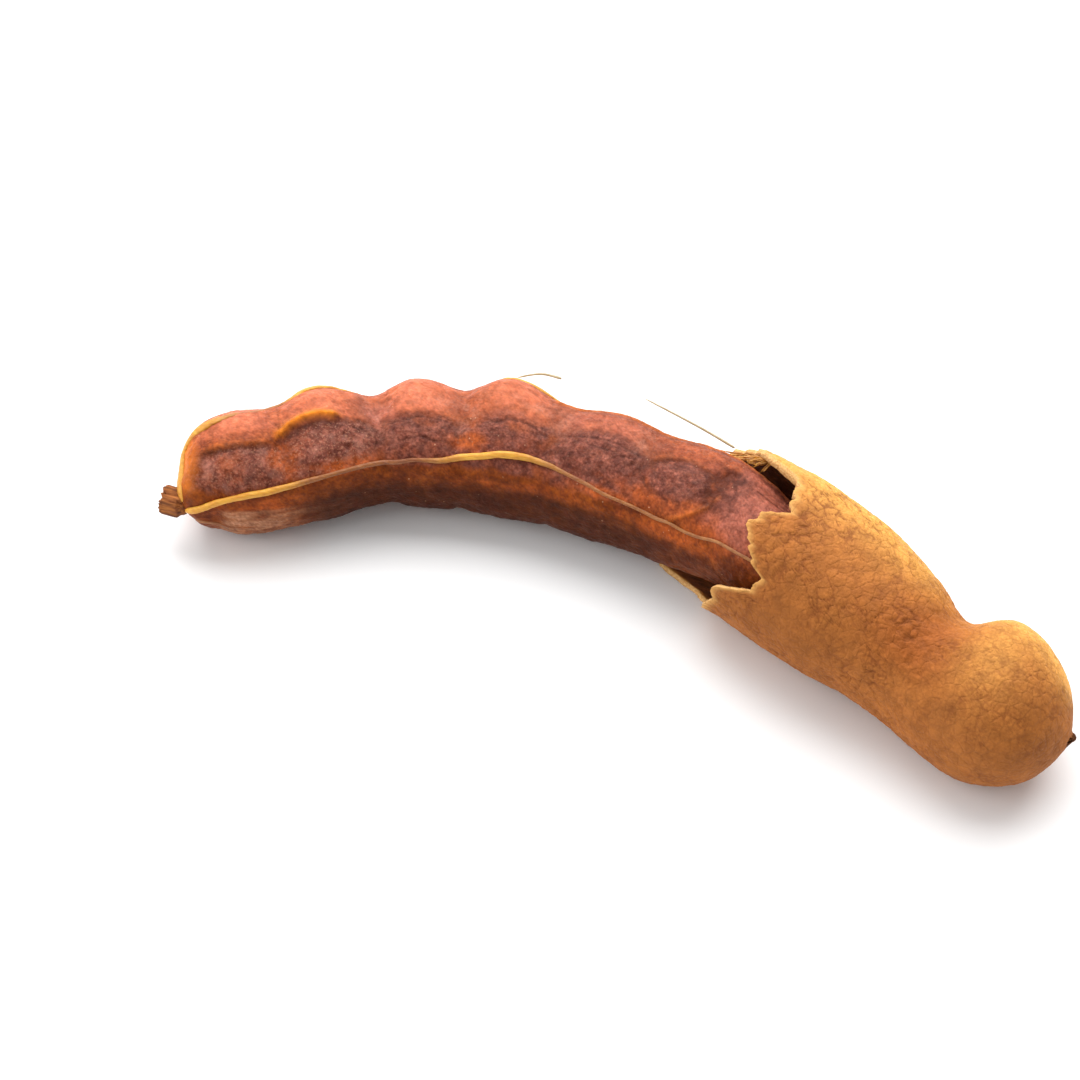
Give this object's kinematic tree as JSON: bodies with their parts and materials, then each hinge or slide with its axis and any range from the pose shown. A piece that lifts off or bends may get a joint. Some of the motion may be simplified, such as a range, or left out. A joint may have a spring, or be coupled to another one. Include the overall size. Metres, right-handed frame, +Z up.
{
  "type": "tamarind pod",
  "caption": "Long bent seed pod lying on its side, its brittle shell peeled off the stem half to show lobed sticky pulp with fibres and a broken stalk.",
  "frame": {"origin": "bottom centre of the whole pod's box, on the surface the pod lies on", "axes": "+X along the pod's chord from the stem to the tip, +Y towards the outer side of its bend, +Z up"},
  "size_m": [0.1336, 0.044, 0.0215],
  "materials": {
    "pulp": "sticky, satin",
    "shell": "dry, rough",
    "fibre": "dry fibre",
    "stem_stub": "rough, split wood"
  },
  "bodies": {
    "root": {"pulp": "pulp", "shell": "shell", "outer_fibre": "fibre", "upper_inner_fibre": "fibre", "lower_inner_fibre": "fibre", "long_hair": "fibre", "short_hair": "fibre", "stem_stub": "stem_stub"}
  },
  "joints": []
}
